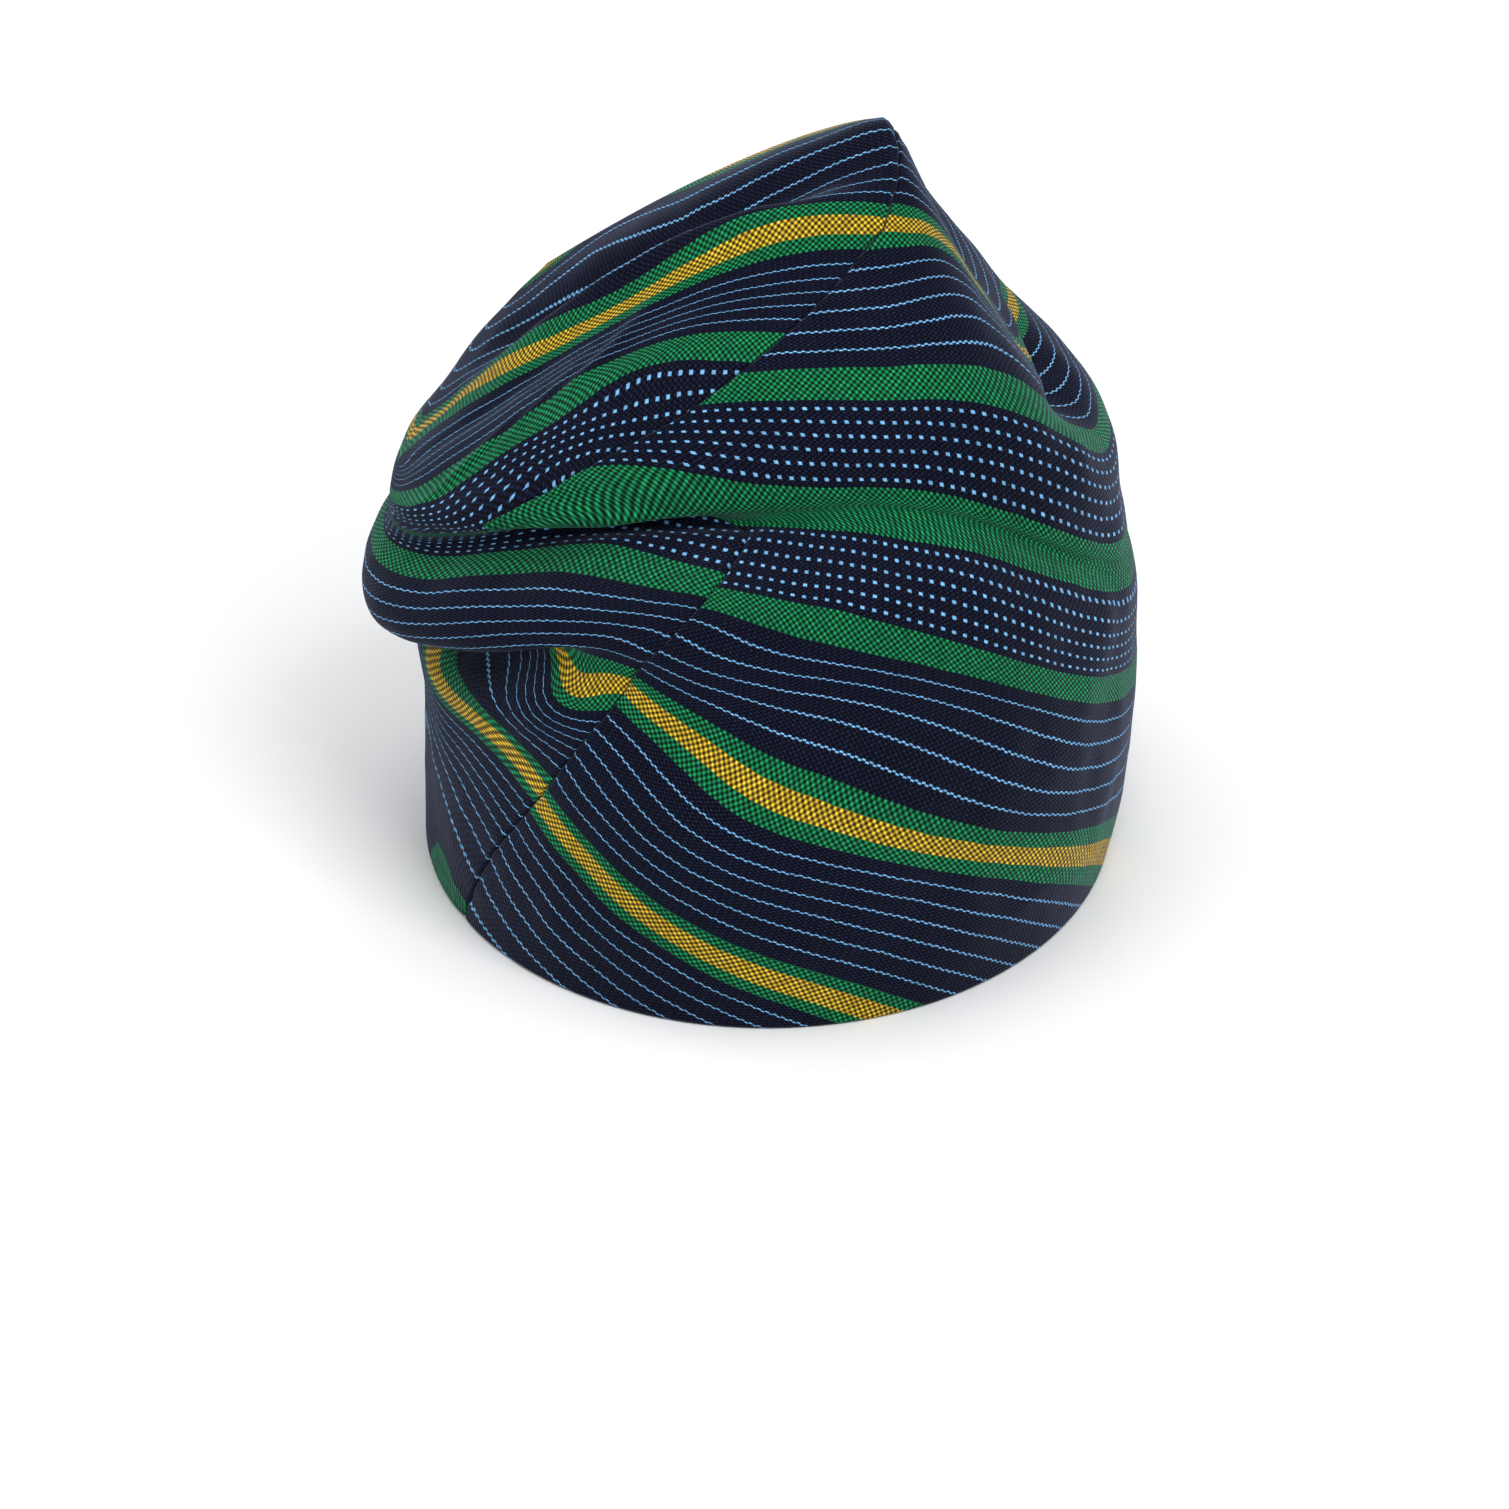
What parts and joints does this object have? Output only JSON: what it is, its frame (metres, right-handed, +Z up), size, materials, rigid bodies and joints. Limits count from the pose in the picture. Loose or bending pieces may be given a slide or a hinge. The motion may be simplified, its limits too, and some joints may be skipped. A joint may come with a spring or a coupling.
{
  "type": "aso oke fila cap",
  "caption": "Soft handwoven striped cloth cap in two sewn halves, with a peaked crown folded over to one side.",
  "frame": {"origin": "centre of the cap's box at its bottom, on the plane that the rim rests on", "axes": "+Z up to the crown's peak, -Y to the near side with the front seam, -X to the side that the crown is folded over"},
  "size_m": [0.1848, 0.2052, 0.19],
  "materials": {
    "strip_cloth": "warp-faced strip weave, navy with green, yellow and light blue stripes"
  },
  "bodies": {
    "root": {"left_panel": "strip_cloth", "right_panel": "strip_cloth"}
  },
  "joints": []
}
